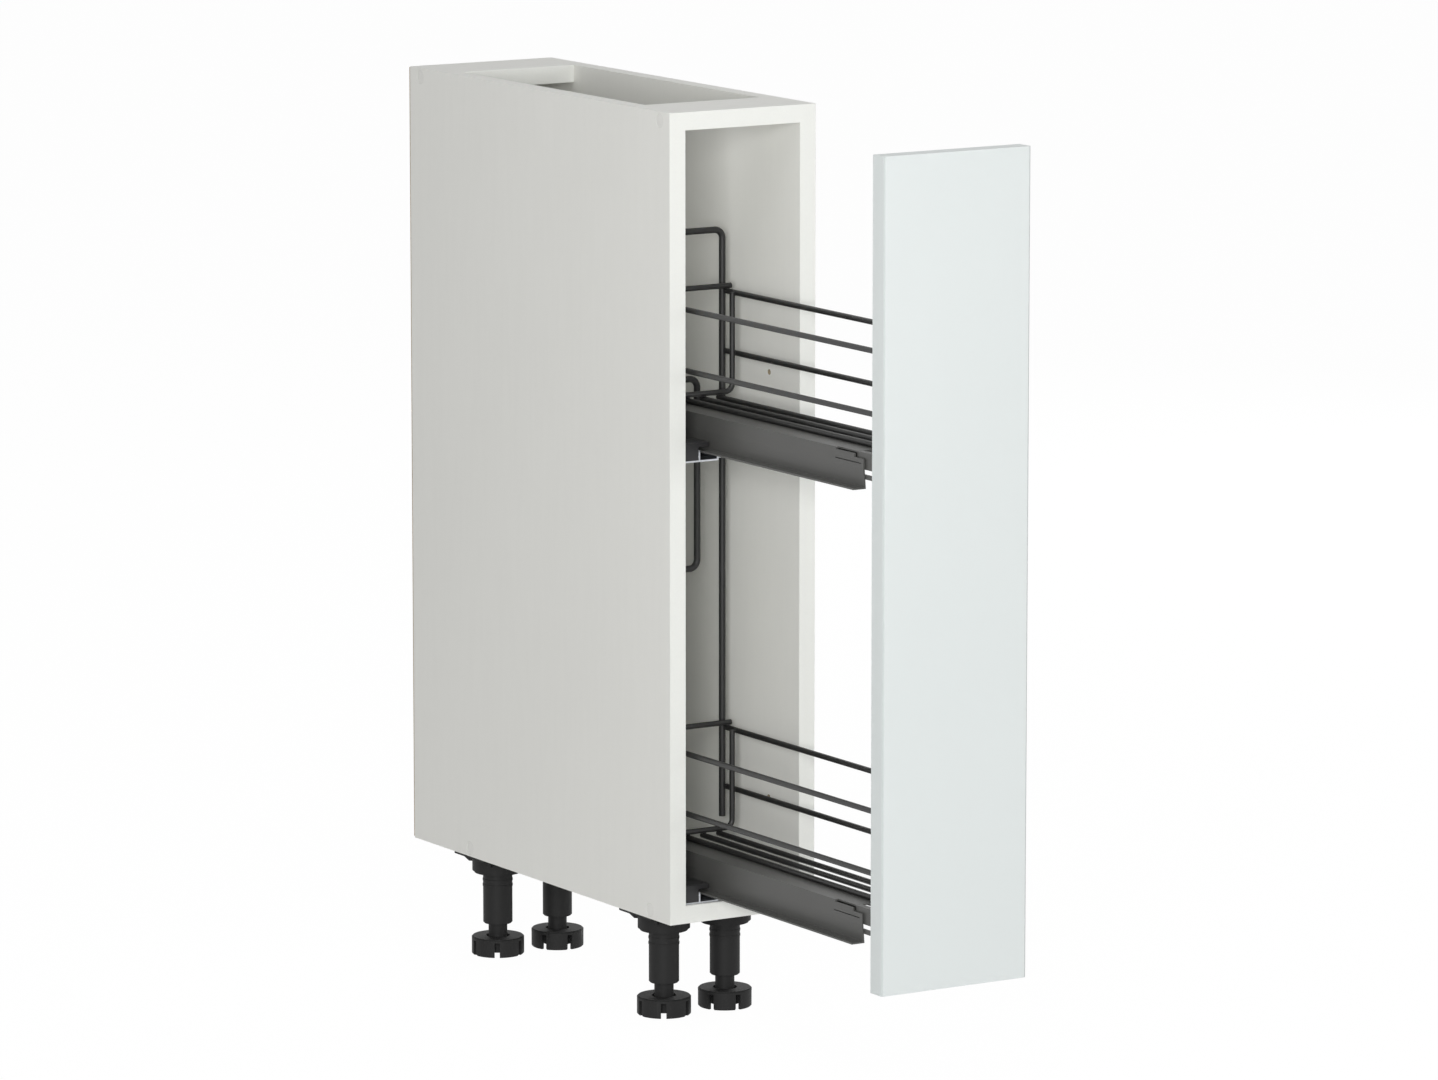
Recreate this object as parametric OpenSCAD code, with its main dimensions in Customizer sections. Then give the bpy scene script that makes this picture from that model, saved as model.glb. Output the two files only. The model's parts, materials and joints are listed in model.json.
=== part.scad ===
// Narrow pull-out kitchen cabinet: a board carcass on four screw feet, and a front panel that
// draws two wire baskets out of it on two telescopic ball runners.
// Lengths are in millimetres. X runs across the cabinet, -Y is the front and Z is up from the floor.
// The model stands pulled out, and the middle of its footprint is at the origin.

/* [Carcass] */
// Outer width of the carcass
carcass_w = 150; // [150:5:300]
// Height of the carcass without its feet
carcass_h = 720; // [700:5:800]
// Depth of the carcass boards with their edge bands
carcass_d = 457; // [450:1:520]
// Thickness of the carcass boards
board_t = 16; // [16:0.5:19]
// Thickness of the back panel that is nailed on
back_t = 3; // [2.5:0.5:6]
// How far the back panel stays inside the outline of the carcass
back_inset = 1; // [0:0.5:3]
// Depth of the two flat rails at the top
rail_d = 68; // [50:1:100]
// Thickness of the edge bands
band_t = 1; // [0.4:0.1:2]
// Distance of the top screws from the outer edge of their rail
rail_screw_in = 17; // [12:1:24]
// Distance of the front bottom screws from the carcass front
bottom_screw_front = 35; // [25:1:60]
// Distance of the rear bottom screws from the carcass front
bottom_screw_rear = 354; // [300:1:400]
// Diameter of the unused holes in the right side panel
spare_hole_d = 5; // [3:0.5:8]
// Depth of those holes
spare_hole_depth = 12; // [5:1:14]
// Distance of those holes from the carcass front
spare_hole_in = 51; // [37:1:80]
// Height of the lower unused hole above the floor
spare_hole_z = 193; // [150:1:230]
// Distance between the two unused holes
spare_hole_pitch = 384; // [320:32:480]

/* [Front] */
// Height of the front panel
front_h = 715; // [690:1:718]
// Thickness of the front panel
front_t = 18; // [16:0.5:22]
// Gap between the front panel's side and the carcass side
front_side_gap = 1.5; // [1:0.5:3]
// Height of the front panel's lower edge above the carcass bottom
front_lift = 1; // [0:0.5:3]
// Radius of the front panel's outer edges
front_round = 2.5; // [1:0.5:4]
// Distance that the front stands off the carcass in this model
pulled_out = 323; // [300:1:324]
// Gap that is left behind the front when it is shut
shut_gap = 2; // [1.5:0.5:3]
// Diameter of the bumpers
bumper_d = 9; // [6:1:12]

/* [Feet] */
// Height of the feet
foot_h = 100; // [95:1:120]
// Distance of the foot axes from the carcass front and back
foot_in = 82; // [60:1:110]
// Distance of the foot axes from the middle of the cabinet
foot_off = 32; // [32:1:40]
// Width of the square socket plate
socket_w = 61; // [56:1:62]
// Thickness of the socket plate
socket_t = 7; // [4:0.5:7]
// Diameter of the socket collar
collar_d = 47; // [40:1:50]
// Height of the socket below the carcass
socket_h = 21; // [18:1:24]
// Diameter of the foot tube
tube_d = 27.2; // [24:0.2:30]
// Height of the tube's lower end above the floor
tube_z = 29; // [28:1:36]
// Diameter of the stem that screws into the tube
stem_d = 17.4; // [14:0.2:19]
// Length of the stem inside the tube
stem_in = 45; // [35:1:50]
// Diameter of the foot disc
disc_d = 48.5; // [44:0.5:52]
// Height of the foot disc
disc_h = 17; // [14:0.5:17]
// Number of wrench notches round the disc
notch_n = 6; // [4:1:8]
// Width of a notch
notch_w = 4.8; // [3:0.2:6]
// Depth of a notch, and thickness of the disc's standing rim
notch_depth = 3.75; // [2:0.25:5]

/* [Runners] */
// Distance between the lower and the upper runner
level_pitch = 395; // [360:1:420]
// Length of the fixed runner parts
runner_len = 444; // [440:1:446]
// Distance of the fixed runner's front end from the carcass front
runner_in = 3; // [3:0.5:6]
// Width of the runner bracket's foot, from the side panel
bracket_w = 35.4; // [34:0.2:37]
// Height of the bracket's flange on the side panel
bracket_flange_h = 32; // [28:1:34]
// Thickness of the bracket's sheet
bracket_t = 1.5; // [1:0.1:2]
// Height of the ball slide
slide_h = 33; // [32.4:0.1:33.4]
// Length of the middle slide member
middle_len = 326; // [310:1:326]
// How far the middle member's front stands out of the carcass here
middle_out = 43; // [30:1:50]
// Length of the slide member on the channel
inner_len = 320; // [300:1:320]
// Diameter of the balls on the fixed side
ball_big_d = 4; // [3.8:0.1:4]
// Diameter of the balls on the moving side
ball_small_d = 3.5; // [3:0.1:3.6]
// Number of balls in each long row
balls_long = 8; // [5:1:9]
// Number of balls in each short row
balls_short = 5; // [3:1:6]
// Distance from ball to ball in a row
ball_pitch = 20; // [16:1:22]

/* [Channels] */
// Length of the painted channel under each basket
channel_len = 372; // [340:1:376]
// Width of the channel's top
channel_w = 24.5; // [24:0.1:25]
// Height of the channel's top over the runner's foot
channel_top = 39; // [38:0.5:42]
// Height of the channel's lower edge over the runner's foot
channel_low = 8; // [6:0.5:9]
// Width of the flange at the foot of the channel
channel_flange = 10.3; // [8:0.1:11]
// Thickness of the channel's sheet
channel_t = 1.5; // [1:0.1:1.8]
// Distance between the channel's front end and the front panel
channel_gap = 81; // [70:1:81]

/* [Baskets] */
// Diameter of the basket wire
wire_d = 5; // [4:0.5:6]
// Distance between the left and the right rails
basket_w = 95.6; // [90:0.2:98]
// Distance of the left rails from the side panel
basket_in = 8.4; // [7:0.2:10]
// Height of the lower rails over the floor wires
rail_low = 38.6; // [25:0.2:60]
// Height of the top rails over the floor wires
rail_high = 92.5; // [80:0.5:110]
// Distance from floor wire to floor wire
floor_pitch = 17; // [14:0.5:17]
// Number of floor wires beside the channel and on it
floor_n = 3; // [2:1:3]
// Bend radius of the hoops, on the middle of the wire
hoop_bend = 7; // [5:0.5:12]
// Distance between the rear hoop and the rear frame
hoop_back = 21; // [15:0.5:30]

/* [Rear frame] */
// Diameter of the wire of the rear frame
frame_d = 6; // [5:0.5:8]
// Distance of the rear frame from the front panel's inner face
frame_back = 426.5; // [415:0.5:435]
// Height of the frame's top bar over the upper runner's foot
frame_top = 189; // [160:1:220]
// Height of the frame's lower ends over the lower runner's foot
frame_low = 52.7; // [50:0.1:70]
// Height of the upper sidestep over the upper runner's foot
step_high = 57; // [54:1:70]
// Depth of the lower sidestep below the upper runner's foot
step_low = 114; // [90:1:150]
// Distance of the stepped leg from the side panel
step_in = 75.2; // [70:0.2:85]
// Bend radius of the frame, on the middle of the wire
frame_bend = 8; // [7:0.5:12]

/* [Hidden] */

// Small extra length of a cutting body
cut = 1;
// Facets of round shapes, and of small ones
fine = 64;
small = 32;

// Places along Y
whole_d = pulled_out + front_t + carcass_d + back_t;
front_y = pulled_out + front_t - whole_d / 2;
board_back_y = front_y + carcass_d;
panel_in_y = front_y - pulled_out;
panel_out_y = panel_in_y - front_t;
bumper_t = shut_gap - 0.2;

// Places along X
half_w = carcass_w / 2;
wall_x = -half_w + board_t;

// Places along Z
top_z = foot_h + carcass_h;
floor_z = foot_h + board_t;
lower_z = floor_z;
upper_z = lower_z + level_pitch;
screw_top_z = top_z - board_t / 2;
screw_low_z = foot_h + board_t / 2;

// Carcass fixings
screw_y_top = [front_y + rail_screw_in, board_back_y - rail_screw_in - 2];
screw_y_low = [front_y + bottom_screw_front, front_y + bottom_screw_rear];
dowel_y_top = [front_y + rail_screw_in + 32, board_back_y - rail_screw_in - 34];
dowel_y_low = [front_y + bottom_screw_front + 45, front_y + bottom_screw_rear - 45];
cap_d = 12.5;
cap_t = 1.2;
head_d = 10;
head_t = 4;
shank_d = 7;
thread_d = 5;
screw_len = 50;
fit = 0.1;
dowel_d = 8;
dowel_len = 30;
nail_d = 1.6;
nail_head_d = 4;
nail_head_t = 0.6;
nail_len = 16;
nail_in = 8;
nail_n = 5;

// Feet
tube_wall_d = stem_d + 0.6;
hole_d = 22;
hub_d = 10;
rim_h = 3;
disc_floor = rim_h + 4;
hub_floor = rim_h + 1.5;
hub_len = 4;
boss_d = 28;
disc_top_t = 3;
ring_drop = [36, 31];
ring_w = 2;
pivot_play = 0.05;
ring_t = 0.4;
foot_x = [-foot_off, foot_off];
foot_y = [front_y + foot_in, front_y + carcass_d + back_t - foot_in];
socket_screw_x = 24;
socket_screw_y = 16;
socket_screw_d = 4;
socket_screw_head_d = 7;
socket_screw_in = 12;
socket_rib_t = 2.4;
socket_rib_w = 11.7;
socket_rib_h = 7;
socket_rib_flat = 3.5;
stem_z = disc_floor + 0.3;
disc_turn = [-62, -32];

// Runner, seen along it: X from the side panel, Z from the bracket's foot
runner_y0 = front_y + runner_in;
runner_y1 = runner_y0 + runner_len;
tongue_x = bracket_w - 20.2;
tongue_len = 26;
guide_top = 17;
guide_reach = 10.4;
guide_arm_t = 4;
tongue_clear = 2.6;
lip_h = 14;
slide_x = bracket_w;
slide_lift = 0.7;
slide_z = bracket_t + slide_lift + slide_h / 2;
outer_t = 1.4;
outer_w = 12.3;
outer_lip = 3.6;
groove_play = 0.03;
groove_deep = 0.6;
groove_thin = 0.5;
big_r = ball_big_d / 2;
small_r = ball_small_d / 2;
big_groove = big_r + groove_play;
small_groove = small_r + groove_play;
big_x = 6;
big_z = slide_h / 2 - outer_t + groove_deep - big_groove;
middle_h = 2 * (big_z - big_groove + groove_deep);
cage_t = 0.4;
cage_gap = 0.3;
middle_web_x = outer_t + cage_t + 2 * cage_gap;
middle_web_t = 1.8;
middle_flange_t = 2.2;
middle_w = 7.8;
small_x = 7.4;
small_z = middle_h / 2 - middle_flange_t + groove_thin - small_groove;
inner_h = 2 * (small_z - small_groove + groove_thin);
inner_t = 1.4;
inner_flange_x = middle_web_x + middle_web_t + cage_t + 2 * cage_gap;
cage_tab_t = 0.6;
cage_play = 0.1;
cage_end = 10;
slide_reach = 16.6;
inner_x1 = slide_x + slide_reach;
channel_x = inner_x1 + channel_t - channel_w;
middle_y0 = front_y - middle_out;
inner_in = 44;
inner_y0 = panel_in_y + channel_gap + inner_in;
long_cage_len = (balls_long - 1) * ball_pitch + 2 * cage_end;
short_cage_len = (balls_short - 1) * ball_pitch + 2 * cage_end;
long_cage_in = 50;
short_cage_in = 35.5;
long_cage_y = front_y + long_cage_in;
short_cage_y = middle_y0 + short_cage_in;
rivet_d = 4;
rivet_head_d = 7;
rivet_head_t = 1.2;
rivet_n = 4;
rivet_in = 25;
rivet_z = 8.5;
runner_screw_n = 4;
runner_screw_in = 45;
runner_screw_d = 4.8;
runner_screw_head_d = 8.4;
runner_screw_head_t = 2.2;
runner_screw_len = 13;
runner_screw_z = 22;

// Channel
channel_y0 = panel_in_y + channel_gap;
channel_y1 = channel_y0 + channel_len;
channel_lean = 1.2;
channel_fold_z = channel_top - 14.2;
notch_len = 14;
notch_h = 5;
slit_len = 29;
slit_h = 2;
slit_in = 3.2;
web_cut = 43;
slit_two_drop = 9.7;
slit_two_h = 0.8;
slit_two_len = 41;

// Front brackets
arm_t = 2;
arm_x = channel_x + channel_t + channel_lean - 0.3;
arm_in = 40;
arm_top_w = 12;
arm_top_end = 6;
arm_top_t = 1.5;
arm_drop = 4;
arm_end_gap = 0.5;
arm_low = channel_top - channel_t - 21.5;
arm_slot_low = arm_low + 4;
arm_slot_high = arm_slot_low + 4.3;
arm_slot_in = 6;
plate_t = 2.5;
plate_w = 44;
plate_low = 2;
plate_high = 60;
plate_screws = [[34.6, 10], [34.6, 48], [8.6, 48]];
plate_screw_d = 3.8;
plate_screw_head_d = 8;
plate_screw_head_t = 2;
plate_screw_len = 12;

// Baskets and rear frame
wire_r = wire_d / 2;
frame_r = frame_d / 2;
rail_x = [wall_x + basket_in, wall_x + basket_in + basket_w];
hoop_x = [rail_x[0] + wire_d, rail_x[1] - wire_d];
floor_wire_z = channel_top + wire_r;
hoop_z = floor_wire_z + wire_d;
rail_low_z = floor_wire_z + rail_low;
rail_high_z = floor_wire_z + rail_high;
frame_y = panel_in_y + frame_back;
rail_y1 = frame_y - frame_r;
rail_y0 = panel_in_y + 7;
hoop_y = [panel_in_y + 17, frame_y - hoop_back];
cross_y = [hoop_y[0] - wire_d - 1, rail_y1 - wire_r];
cross_over = wire_r + 0.6;
floor_y0 = hoop_y[0] - 4;
floor_y1 = hoop_y[1] + 4;
floor_x0 = wall_x + channel_x + channel_w - 0.5;
leg_x = [rail_x[0] + 3, rail_x[1] - 2.5];

// Body drawn along Y, from y0 to y1, over a flat outline in X and Z
module along_y(y0, y1) {
    translate([0, y1, 0]) rotate([90, 0, 0]) linear_extrude(height = y1 - y0) children();
}

// Box between two corners
module block(a, b) {
    translate(a) cube([b[0] - a[0], b[1] - a[1], b[2] - a[2]]);
}

// Round bar along X, Y or Z, from a point
module bar_x(p, len, d, n = small) {
    translate(p) rotate([0, 90, 0]) cylinder(h = len, d = d, $fn = n);
}
module bar_y(p, len, d, n = small) {
    translate(p) rotate([-90, 0, 0]) cylinder(h = len, d = d, $fn = n);
}
module bar_z(p, len, d, n = small) {
    translate(p) cylinder(h = len, d = d, $fn = n);
}

// Flat bent wire at depth y, through the points [x, z], with square corners
module bent_wire(pts, y, d, bend) {
    last = len(pts) - 1;
    for (i = [0:last - 1]) {
        a = pts[i];
        b = pts[i + 1];
        u = (b - a) / norm(b - a);
        from = i == 0 ? a : a + bend * u;
        to = i == last - 1 ? b : b - bend * u;
        translate([from[0], y, from[1]]) rotate([90, 0, 0]) rotate([0, 0, atan2(u[1], u[0])])
            rotate([0, 90, 0]) cylinder(h = norm(to - from), d = d, $fn = small);
    }
    for (i = [1:1:last - 1]) {
        u = (pts[i] - pts[i - 1]) / norm(pts[i] - pts[i - 1]);
        v = (pts[i + 1] - pts[i]) / norm(pts[i + 1] - pts[i]);
        c = pts[i] - bend * u + bend * v;
        left = u[0] * v[1] - u[1] * v[0] > 0;
        start = left ? atan2(-v[1], -v[0]) : atan2(u[1], u[0]);
        translate([c[0], y, c[1]]) rotate([90, 0, 0]) rotate([0, 0, start])
            rotate_extrude(angle = 90, $fn = fine) translate([bend, 0]) circle(d = d, $fn = small);
    }
}

// Stepped hole or screw along X: side is -1 for the left panel and 1 for the right one
module side_fixing(side, y, z, grow) {
    outer = side * half_w;
    flip = side > 0 ? 1 : 0;
    translate([outer, y, z]) mirror([flip, 0, 0]) {
        bar_x([cap_t, 0, 0], head_t, head_d + grow);
        bar_x([cap_t, 0, 0], board_t - cap_t + fit, shank_d + grow);
        bar_x([cap_t, 0, 0], screw_len, thread_d + grow);
    }
}

// All screw places of one side as [y, z]
function fixing_places() = [for (y = screw_y_top) [y, screw_top_z], for (y = screw_y_low) [y, screw_low_z]];
function dowel_places() = [for (y = dowel_y_top) [y, screw_top_z], for (y = dowel_y_low) [y, screw_low_z]];

// Holes for the screws, the caps and the dowels of one side
module side_holes(side) {
    flip = side > 0 ? 1 : 0;
    for (p = fixing_places()) {
        side_fixing(side, p[0], p[1], 2 * fit);
        translate([side * half_w, p[0], p[1]]) mirror([flip, 0, 0])
            bar_x([-cut, 0, 0], cap_t + cut, cap_d + 2 * fit);
    }
    for (p = dowel_places())
        translate([side * half_w, p[0], p[1]]) mirror([flip, 0, 0])
            bar_x([board_t - dowel_len / 3, 0, 0], dowel_len, dowel_d + 2 * fit);
}

module side_board(side) {
    x0 = side < 0 ? -half_w : half_w - board_t;
    difference() {
        block([x0, front_y + band_t, foot_h], [x0 + board_t, board_back_y, top_z]);
        side_holes(side);
        nail_holes();
    }
}

module left_side_panel() {
    color("whitesmoke") difference() {
        side_board(-1);
        for (level = [lower_z, upper_z]) runner_screw_set(level, fit, runner_screw_len + cut);
    }
}

module right_side_panel() {
    color("whitesmoke") difference() {
        side_board(1);
        for (k = [0, 1])
            bar_x([half_w - board_t - cut, front_y + spare_hole_in, spare_hole_z + k * spare_hole_pitch],
                spare_hole_depth + cut, spare_hole_d);
    }
}

module bottom_panel() {
    color("whitesmoke") difference() {
        block([wall_x, front_y + band_t, foot_h], [-wall_x, board_back_y, floor_z]);
        for (side = [-1, 1]) side_holes(side);
        nail_holes();
        for (x = foot_x, y = foot_y) socket_screw_set(x, y, fit, cut);
    }
}

module top_rail(y0, y1) {
    color("whitesmoke") difference() {
        block([wall_x, y0, top_z - board_t], [-wall_x, y1, top_z]);
        for (side = [-1, 1]) side_holes(side);
        nail_holes();
    }
}

module top_front_rail() {
    top_rail(front_y + band_t, front_y + rail_d);
}

module top_rear_rail() {
    top_rail(board_back_y - rail_d + band_t, board_back_y);
}

// Nail places on the back as [x, z]
function nail_places() = let (x = half_w - nail_in, z0 = foot_h + nail_in, z1 = top_z - nail_in) concat(
    [for (side = [-1, 1], i = [0:nail_n - 1]) [side * x, z0 + (z1 - z0) * i / (nail_n - 1)]],
    [[0, z0], [0, z1]]);

module nail_set(grow) {
    for (p = nail_places())
        bar_y([p[0], board_back_y + back_t - nail_len, p[1]], nail_len, nail_d + grow, 16);
}

module nail_holes() {
    nail_set(2 * fit);
}

module back_panel() {
    color("gainsboro") difference() {
        block([-half_w + back_inset, board_back_y, foot_h + back_inset],
            [half_w - back_inset, board_back_y + back_t, top_z - back_inset]);
        nail_holes();
        for (p = nail_places())
            bar_y([p[0], board_back_y + back_t - nail_head_t, p[1]], nail_head_t + cut,
                nail_head_d + 2 * fit, 24);
    }
}

module back_nails() {
    color("silver") {
        nail_set(0);
        for (p = nail_places())
            bar_y([p[0], board_back_y + back_t - nail_head_t, p[1]], nail_head_t, nail_head_d, 24);
    }
}

module edge_bands() {
    color("white") {
        for (x = [-half_w, half_w - board_t])
            block([x, front_y, foot_h], [x + board_t, front_y + band_t, top_z]);
        for (z = [foot_h, top_z - board_t])
            block([wall_x, front_y, z], [-wall_x, front_y + band_t, z + board_t]);
        block([wall_x, board_back_y - rail_d, top_z - board_t],
            [-wall_x, board_back_y - rail_d + band_t, top_z]);
    }
}

module carcass_screws() {
    color("silver") for (side = [-1, 1], p = fixing_places()) side_fixing(side, p[0], p[1], 0);
}

module screw_caps() {
    color("white") for (side = [-1, 1], p = fixing_places())
        bar_x([side < 0 ? -half_w : half_w - cap_t, p[0], p[1]], cap_t, cap_d);
}

module wood_dowels() {
    color("burlywood") for (side = [-1, 1], p = dowel_places()) {
        x = side * (half_w - board_t) + (side < 0 ? -dowel_len / 3 + fit : -2 * dowel_len / 3);
        bar_x([x, p[0], p[1]], dowel_len - fit, dowel_d);
    }
}

// One socket: a square plate under the carcass, with a collar that grips the foot tube
module socket(x, y) {
    plate_r = 5;
    side = socket_w / 2 - plate_r;
    translate([x, y, foot_h - socket_t]) difference() {
        union() {
            linear_extrude(height = socket_t) union() {
                square([socket_w, 2 * side], center = true);
                square([2 * side, socket_w], center = true);
                for (i = [-1, 1], j = [-1, 1])
                    translate([i * side, j * side]) circle(r = plate_r, $fn = small);
            }
            translate([0, 0, socket_t - socket_h])
                cylinder(h = socket_h - socket_t, d = collar_d, $fn = fine);
            translate([0, 0, socket_t - socket_h - 2]) cylinder(h = 2, d = collar_d - 4, $fn = fine);
            for (a = [45:90:315]) rotate([0, 0, a]) rotate([90, 0, 0]) translate([0, 0, -socket_rib_t / 2])
                linear_extrude(height = socket_rib_t)
                polygon([
                    [collar_d / 2 - 2, 0.5], [collar_d / 2 - 2, -socket_rib_h],
                    [collar_d / 2 + socket_rib_flat, -socket_rib_h],
                    [collar_d / 2 + socket_rib_w, 0], [collar_d / 2 + socket_rib_w, 0.5]]);
        }
        translate([0, 0, socket_t - socket_h - 2 - cut])
            cylinder(h = socket_h + 2 + cut - socket_t, d = tube_d + 2 * fit, $fn = fine);
    }
}

// The four wood screws of one socket
module socket_screw_set(x, y, grow, over) {
    for (i = [-1, 1], j = [-1, 1])
        bar_z([x + i * socket_screw_x, y + j * socket_screw_y, foot_h - socket_t - over],
            socket_screw_in + socket_t + over, socket_screw_d + 2 * grow, 24);
}

module leg_sockets() {
    color([0.16, 0.16, 0.16]) difference() {
        for (x = foot_x, y = foot_y) socket(x, y);
        for (x = foot_x, y = foot_y) socket_screw_set(x, y, fit, 3);
    }
}

module socket_screws() {
    color("silver") for (x = foot_x, y = foot_y) {
        socket_screw_set(x, y, 0, 0);
        for (i = [-1, 1], j = [-1, 1])
            bar_z([x + i * socket_screw_x, y + j * socket_screw_y, foot_h - socket_t - 2],
                2, socket_screw_head_d, 24);
    }
}

// Foot tube: a sleeve with two raised rings near its top and a rounded lower edge
module tube(x, y) {
    top = foot_h - socket_t - 0.2;
    translate([x, y, 0]) difference() {
        union() {
            translate([0, 0, tube_z + 1]) cylinder(h = top - tube_z - 1, d = tube_d, $fn = fine);
            translate([0, 0, tube_z]) cylinder(h = 1, d = tube_d - 2, $fn = fine);
            for (drop = ring_drop)
                translate([0, 0, foot_h - drop]) cylinder(h = ring_w, d = tube_d + 2 * ring_t, $fn = fine);
        }
        translate([0, 0, tube_z - cut]) cylinder(h = top - tube_z - 2 + cut, d = tube_wall_d, $fn = fine);
    }
}

module leg_tubes() {
    color([0.2, 0.2, 0.2]) for (x = foot_x, y = foot_y) tube(x, y);
}

// Stem of a foot, with a pivot at its lower end that carries the disc
module foot_stem(x, y) {
    color([0.18, 0.18, 0.18]) translate([x, y, 0]) {
        translate([0, 0, stem_z]) cylinder(h = tube_z + stem_in - stem_z, d = stem_d, $fn = fine);
        translate([0, 0, hub_floor + 0.3]) cylinder(h = hub_len, d = hub_d, $fn = fine);
    }
}

// Foot disc: a cup that stands on its rim, with wrench notches through the rim and a boss in the middle
// that has a recess round the stem and a blind hole for the pivot
module foot_disc(x, y, turn) {
    notch_r = disc_d / 2 - notch_depth;
    notch_over = 1;
    color([0.2, 0.2, 0.2]) translate([x, y, 0]) difference() {
        union() {
            cylinder(h = 1, d = disc_d - 2, $fn = fine);
            translate([0, 0, 1]) cylinder(h = disc_h - 2, d = disc_d, $fn = fine);
            translate([0, 0, disc_h - 1]) cylinder(h = 1, d = disc_d - 2, $fn = fine);
        }
        difference() {
            translate([0, 0, -cut])
                cylinder(h = disc_h - disc_top_t + cut, d = disc_d - 2 * notch_depth, $fn = fine);
            translate([0, 0, rim_h]) cylinder(h = disc_h, d = boss_d, $fn = fine);
        }
        translate([0, 0, disc_floor]) cylinder(h = disc_h, d = hole_d, $fn = fine);
        translate([0, 0, hub_floor]) cylinder(h = disc_h, d = hub_d + 2 * pivot_play, $fn = fine);
        for (k = [0:notch_n - 1]) rotate([0, 0, k * 360 / notch_n + turn])
            translate([notch_r - notch_over, -notch_w / 2, -cut])
                cube([notch_over + notch_depth + cut, notch_w, disc_h - disc_top_t + cut]);
    }
}

// Fixed bracket: a folded sheet with a flange on the side panel, a foot, a low lip that carries the
// slide and a tongue at the front that the guide block sits against
module runner_bracket(z) {
    color("silver") difference() {
        union() {
            along_y(runner_y0, runner_y1) translate([wall_x, z]) polygon([
                [0, 0], [bracket_w, 0], [bracket_w, lip_h], [bracket_w - bracket_t, lip_h],
                [bracket_w - bracket_t, bracket_t], [bracket_t, bracket_t],
                [bracket_t, bracket_flange_h], [0, bracket_flange_h]]);
            block([wall_x + tongue_x, runner_y0, z + bracket_t],
                [wall_x + tongue_x + bracket_t, runner_y0 + tongue_len,
                    z + guide_top - guide_arm_t - tongue_clear]);
        }
        runner_screw_set(z, 2 * fit, cut);
        runner_rivet_set(z, fit, cut);
    }
}

// Plastic block at the runner's front, whose arm keeps the channel's flange down
module guide_block(z) {
    color([0.15, 0.15, 0.15]) along_y(runner_y0, runner_y0 + tongue_len) translate([wall_x, z]) polygon([
        [bracket_t, bracket_t], [tongue_x, bracket_t], [tongue_x, guide_top - guide_arm_t],
        [tongue_x + guide_reach, guide_top - guide_arm_t], [tongue_x + guide_reach, guide_top],
        [bracket_t, guide_top]]);
}

// Screw places of a runner along Y
function runner_screw_ys() = [for (i = [0:runner_screw_n - 1])
    runner_y0 + runner_screw_in + i * (runner_len - 2 * runner_screw_in) / (runner_screw_n - 1)];
function rivet_ys(y0, y1, n) =
    [for (i = [0:n - 1]) y0 + rivet_in + i * (y1 - y0 - 2 * rivet_in) / (n - 1)];

module runner_screw_set(z, grow, into) {
    for (y = runner_screw_ys())
        bar_x([wall_x - into, y, z + runner_screw_z], into + bracket_t + cut, runner_screw_d + 2 * grow, 24);
}

module runner_screws() {
    color("silver") for (z = [lower_z, upper_z], y = runner_screw_ys()) {
        bar_x([wall_x - runner_screw_len, y, z + runner_screw_z], runner_screw_len + bracket_t,
            runner_screw_d, 24);
        bar_x([wall_x + bracket_t, y, z + runner_screw_z], runner_screw_head_t, runner_screw_head_d, 24);
    }
}

module runner_rivet_set(z, grow, over) {
    for (y = rivet_ys(runner_y0, runner_y1, rivet_n))
        bar_x([wall_x + slide_x - bracket_t - over, y, z + rivet_z], bracket_t + outer_t + 2 * over,
            rivet_d + 2 * grow, 24);
}

module runner_rivets() {
    color("silver") for (z = [lower_z, upper_z]) {
        runner_rivet_set(z, 0, 0);
        for (y = rivet_ys(runner_y0, runner_y1, rivet_n))
            bar_x([wall_x + slide_x - bracket_t - rivet_head_t, y, z + rivet_z], rivet_head_t,
                rivet_head_d, 24);
    }
}

// Ball tracks along a slide member
module tracks(y0, y1, x, z, r) {
    for (s = [-1, 1])
        bar_y([wall_x + slide_x + x, y0 - cut, s * z], y1 - y0 + 2 * cut, 2 * r);
}

// Fixed slide member, a C open to the right
module outer_member(z) {
    h = slide_h / 2;
    color("silver") translate([0, 0, z + slide_z]) difference() {
        along_y(runner_y0, runner_y1) translate([wall_x + slide_x, 0]) polygon([
            [0, -h], [outer_w, -h], [outer_w, -h + outer_lip], [outer_w - outer_t, -h + outer_lip],
            [outer_w - outer_t, -h + outer_t], [outer_t, -h + outer_t], [outer_t, h - outer_t],
            [outer_w - outer_t, h - outer_t], [outer_w - outer_t, h - outer_lip], [outer_w, h - outer_lip],
            [outer_w, h], [0, h]]);
        tracks(runner_y0, runner_y1, big_x, big_z, big_groove);
        translate([0, 0, -z - slide_z]) runner_rivet_set(z, fit, cut);
    }
}

// Plastic buffers in the rear ends of the fixed members, which stop the inner members
module end_buffers() {
    h = inner_h / 2;
    color([0.3, 0.3, 0.3]) for (z = [lower_z, upper_z])
        block([wall_x + slide_x + outer_t, runner_y1 - 3, z + slide_z - h],
            [wall_x + slide_x + outer_w, runner_y1, z + slide_z + h]);
}

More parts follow.
